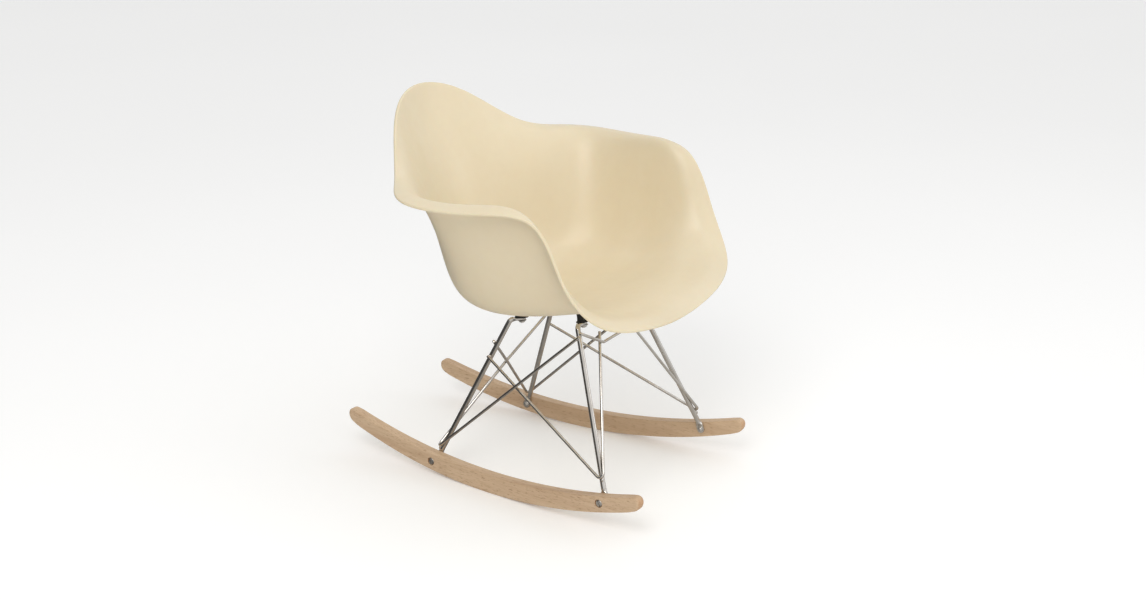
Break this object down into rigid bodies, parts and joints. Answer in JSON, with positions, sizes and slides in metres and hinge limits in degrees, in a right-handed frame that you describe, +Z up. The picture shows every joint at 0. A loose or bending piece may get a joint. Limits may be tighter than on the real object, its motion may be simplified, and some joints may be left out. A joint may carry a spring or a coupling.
{
  "type": "rocking chair",
  "caption": "Armchair with a moulded bucket shell on rubber mounts, a braced base of bent rods and wires, and two curved wooden rockers.",
  "frame": {"origin": "on the floor under the middle of the rockers, half way between them", "axes": "+Z up, +X to the sitter's left, +Y to the back of the chair, so the sitter faces -Y"},
  "size_m": [0.6412, 0.6838, 0.7057],
  "materials": {
    "shell_plastic": "cream moulded plastic, satin gloss",
    "mount_rubber": "black, matt",
    "rod_chrome": "polished, with weld marks",
    "fixing_steel": "zinc plated",
    "rocker_wood": "light hardwood, clear matt varnish"
  },
  "bodies": {
    "root": {"seat_shell": "shell_plastic", "shock_mount_front_left": "mount_rubber", "shock_mount_front_right": "mount_rubber", "shock_mount_rear_left": "mount_rubber", "shock_mount_rear_right": "mount_rubber", "mount_insert_front_left": "fixing_steel", "mount_insert_front_right": "fixing_steel", "mount_insert_rear_left": "fixing_steel", "mount_insert_rear_right": "fixing_steel", "seat_washer_front_left": "fixing_steel", "seat_washer_front_right": "fixing_steel", "seat_washer_rear_left": "fixing_steel", "seat_washer_rear_right": "fixing_steel", "seat_screw_front_left": "fixing_steel", "seat_screw_front_right": "fixing_steel", "seat_screw_rear_left": "fixing_steel", "seat_screw_rear_right": "fixing_steel", "leg_front_left": "rod_chrome", "leg_front_right": "rod_chrome", "leg_rear_left": "rod_chrome", "leg_rear_right": "rod_chrome", "brace_front_left": "rod_chrome", "brace_front_right": "rod_chrome", "brace_rear_left": "rod_chrome", "brace_rear_right": "rod_chrome", "front_spreader": "rod_chrome", "rocker_left": "rocker_wood", "rocker_right": "rocker_wood", "sleeve_nut_front_left": "fixing_steel", "sleeve_nut_front_right": "fixing_steel", "sleeve_nut_rear_left": "fixing_steel", "sleeve_nut_rear_right": "fixing_steel", "rocker_washer_front_left": "fixing_steel", "rocker_washer_front_right": "fixing_steel", "rocker_washer_rear_left": "fixing_steel", "rocker_washer_rear_right": "fixing_steel", "rocker_bolt_front_left": "fixing_steel", "rocker_bolt_front_right": "fixing_steel", "rocker_bolt_rear_left": "fixing_steel", "rocker_bolt_rear_right": "fixing_steel"}
  },
  "joints": []
}
